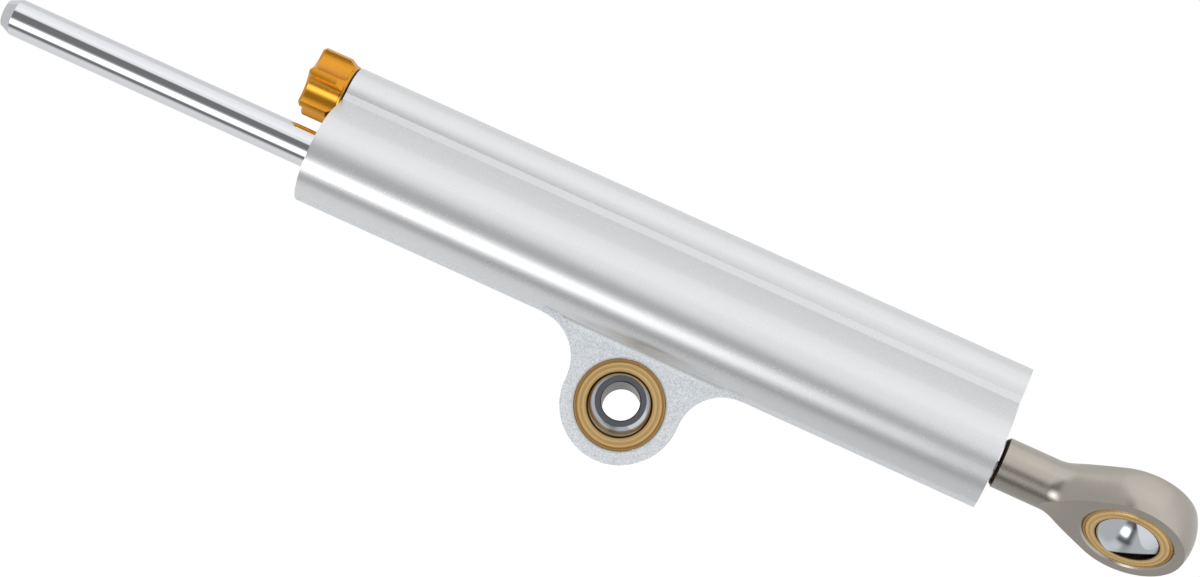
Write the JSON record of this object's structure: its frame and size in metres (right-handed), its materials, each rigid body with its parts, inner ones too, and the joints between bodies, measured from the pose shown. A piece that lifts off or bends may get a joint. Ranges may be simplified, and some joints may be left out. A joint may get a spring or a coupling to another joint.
{
  "type": "linear steering damper",
  "caption": "Linear through-rod steering damper with adjuster knob, frame lug and rod end, both with spherical bearings.",
  "frame": {"origin": "centre of the spherical bearing in the frame lug", "axes": "+X along the rod towards the rod end, +Z from the lug towards the adjuster tube, -Y towards the side the picture shows"},
  "size_m": [0.2699, 0.0281, 0.0551],
  "materials": {
    "body_alloy": "satin, fine bead-blasted and clear anodised",
    "rod_chrome": "mirror hard chrome, ground and polished",
    "rod_end_steel": "satin nickel plated, flats finely cross-brushed",
    "race_bronze": "turned bearing bronze with fine concentric lines",
    "ball_steel": "mirror polished bearing steel",
    "knob_gold": "glossy orange-gold anodised, turned and milled",
    "hardware_steel": "satin stainless and zinc plated steel",
    "spring_steel": "satin spring steel",
    "gland_alloy": "satin anodised, turned",
    "piston_alloy": "satin hard anodised, turned",
    "valve_brass": "satin turned brass",
    "washer_copper": "satin annealed copper",
    "seal_rubber": "matte nitrile",
    "ring_polymer": "matte filled polymer"
  },
  "bodies": {
    "barrel": {"housing": "body_alloy", "frame_race": "race_bronze", "gland_left": "gland_alloy", "gland_right": "gland_alloy", "gland_clip_left": "hardware_steel", "gland_clip_right": "hardware_steel", "gland_oring_left": "seal_rubber", "gland_oring_right": "seal_rubber", "rod_seal_left": "seal_rubber", "rod_seal_right": "seal_rubber", "rod_wiper_left": "seal_rubber", "rod_wiper_right": "seal_rubber", "rod_bush_left": "race_bronze", "rod_bush_right": "race_bronze", "bump_stop_left": "ring_polymer", "bump_stop_right": "ring_polymer", "adjuster_cartridge": "valve_brass", "cartridge_oring": "seal_rubber", "spindle_oring": "seal_rubber", "spindle_clip": "hardware_steel", "valve_seat": "valve_brass", "tube_plug": "gland_alloy", "plug_oring": "seal_rubber", "plug_clip": "hardware_steel", "bleed_screw": "hardware_steel", "bleed_washer": "washer_copper", "compensator_spring": "spring_steel"},
    "floating_piston": {"compensator_piston": "piston_alloy", "compensator_oring": "seal_rubber"},
    "piston_group": {"piston": "piston_alloy", "piston_ring": "ring_polymer", "piston_oring": "seal_rubber"},
    "rod": {"piston_rod": "rod_chrome", "piston_clips": "hardware_steel", "rod_end": "rod_end_steel", "rod_end_race": "race_bronze"},
    "rod_ball": {"rod_end_ball": "ball_steel"},
    "lug_ball": {"frame_ball": "ball_steel"},
    "knob": {"adjuster_knob": "knob_gold", "knob_screw": "hardware_steel", "adjuster_spindle": "hardware_steel", "knob_seal": "seal_rubber", "detent_balls": "ball_steel", "detent_springs": "spring_steel"},
    "needle": {"needle_valve": "piston_alloy"}
  },
  "joints": [
    {"name": "rod_slide", "type": "slide", "parent": "barrel", "child": "piston_group", "axis": [1, 0, 0], "range_m": [0, 0.068]},
    {"name": "rod_turn", "type": "hinge", "parent": "piston_group", "child": "rod", "pos_m": [0, 0, 0.0215], "axis": [1, 0, 0], "continuous": true},
    {"name": "rod_end_ball_tilt", "type": "hinge", "parent": "rod", "child": "rod_ball", "pos_m": [0.1049, 0, 0.0215], "axis": [0.829, -0.4679, 0.3062], "range_deg": [-54, 0]},
    {"name": "lug_ball_tilt", "type": "hinge", "parent": "barrel", "child": "lug_ball", "pos_m": [0, 0, 0], "axis": [1, 0, 0], "range_deg": [-5.5, 22.5]},
    {"name": "knob_turn", "type": "hinge", "parent": "barrel", "child": "knob", "pos_m": [0, 0.0079, 0.03518], "axis": [1, 0, 0], "range_deg": [-450, 450]},
    {"name": "needle_slide", "type": "slide", "parent": "barrel", "child": "needle", "axis": [1, 0, 0], "range_m": [-0.00063, 0.00063]},
    {"name": "floating_piston_slide", "type": "slide", "parent": "barrel", "child": "floating_piston", "axis": [1, 0, 0], "range_m": [-0.002, 0.002], "stiffness_N_per_m": 500, "deforming": ["compensator_spring"]}
  ],
  "couplings": [
    {"joint": "needle_slide", "follows": "knob_turn", "m_per_rad": 0.000079577}
  ]
}
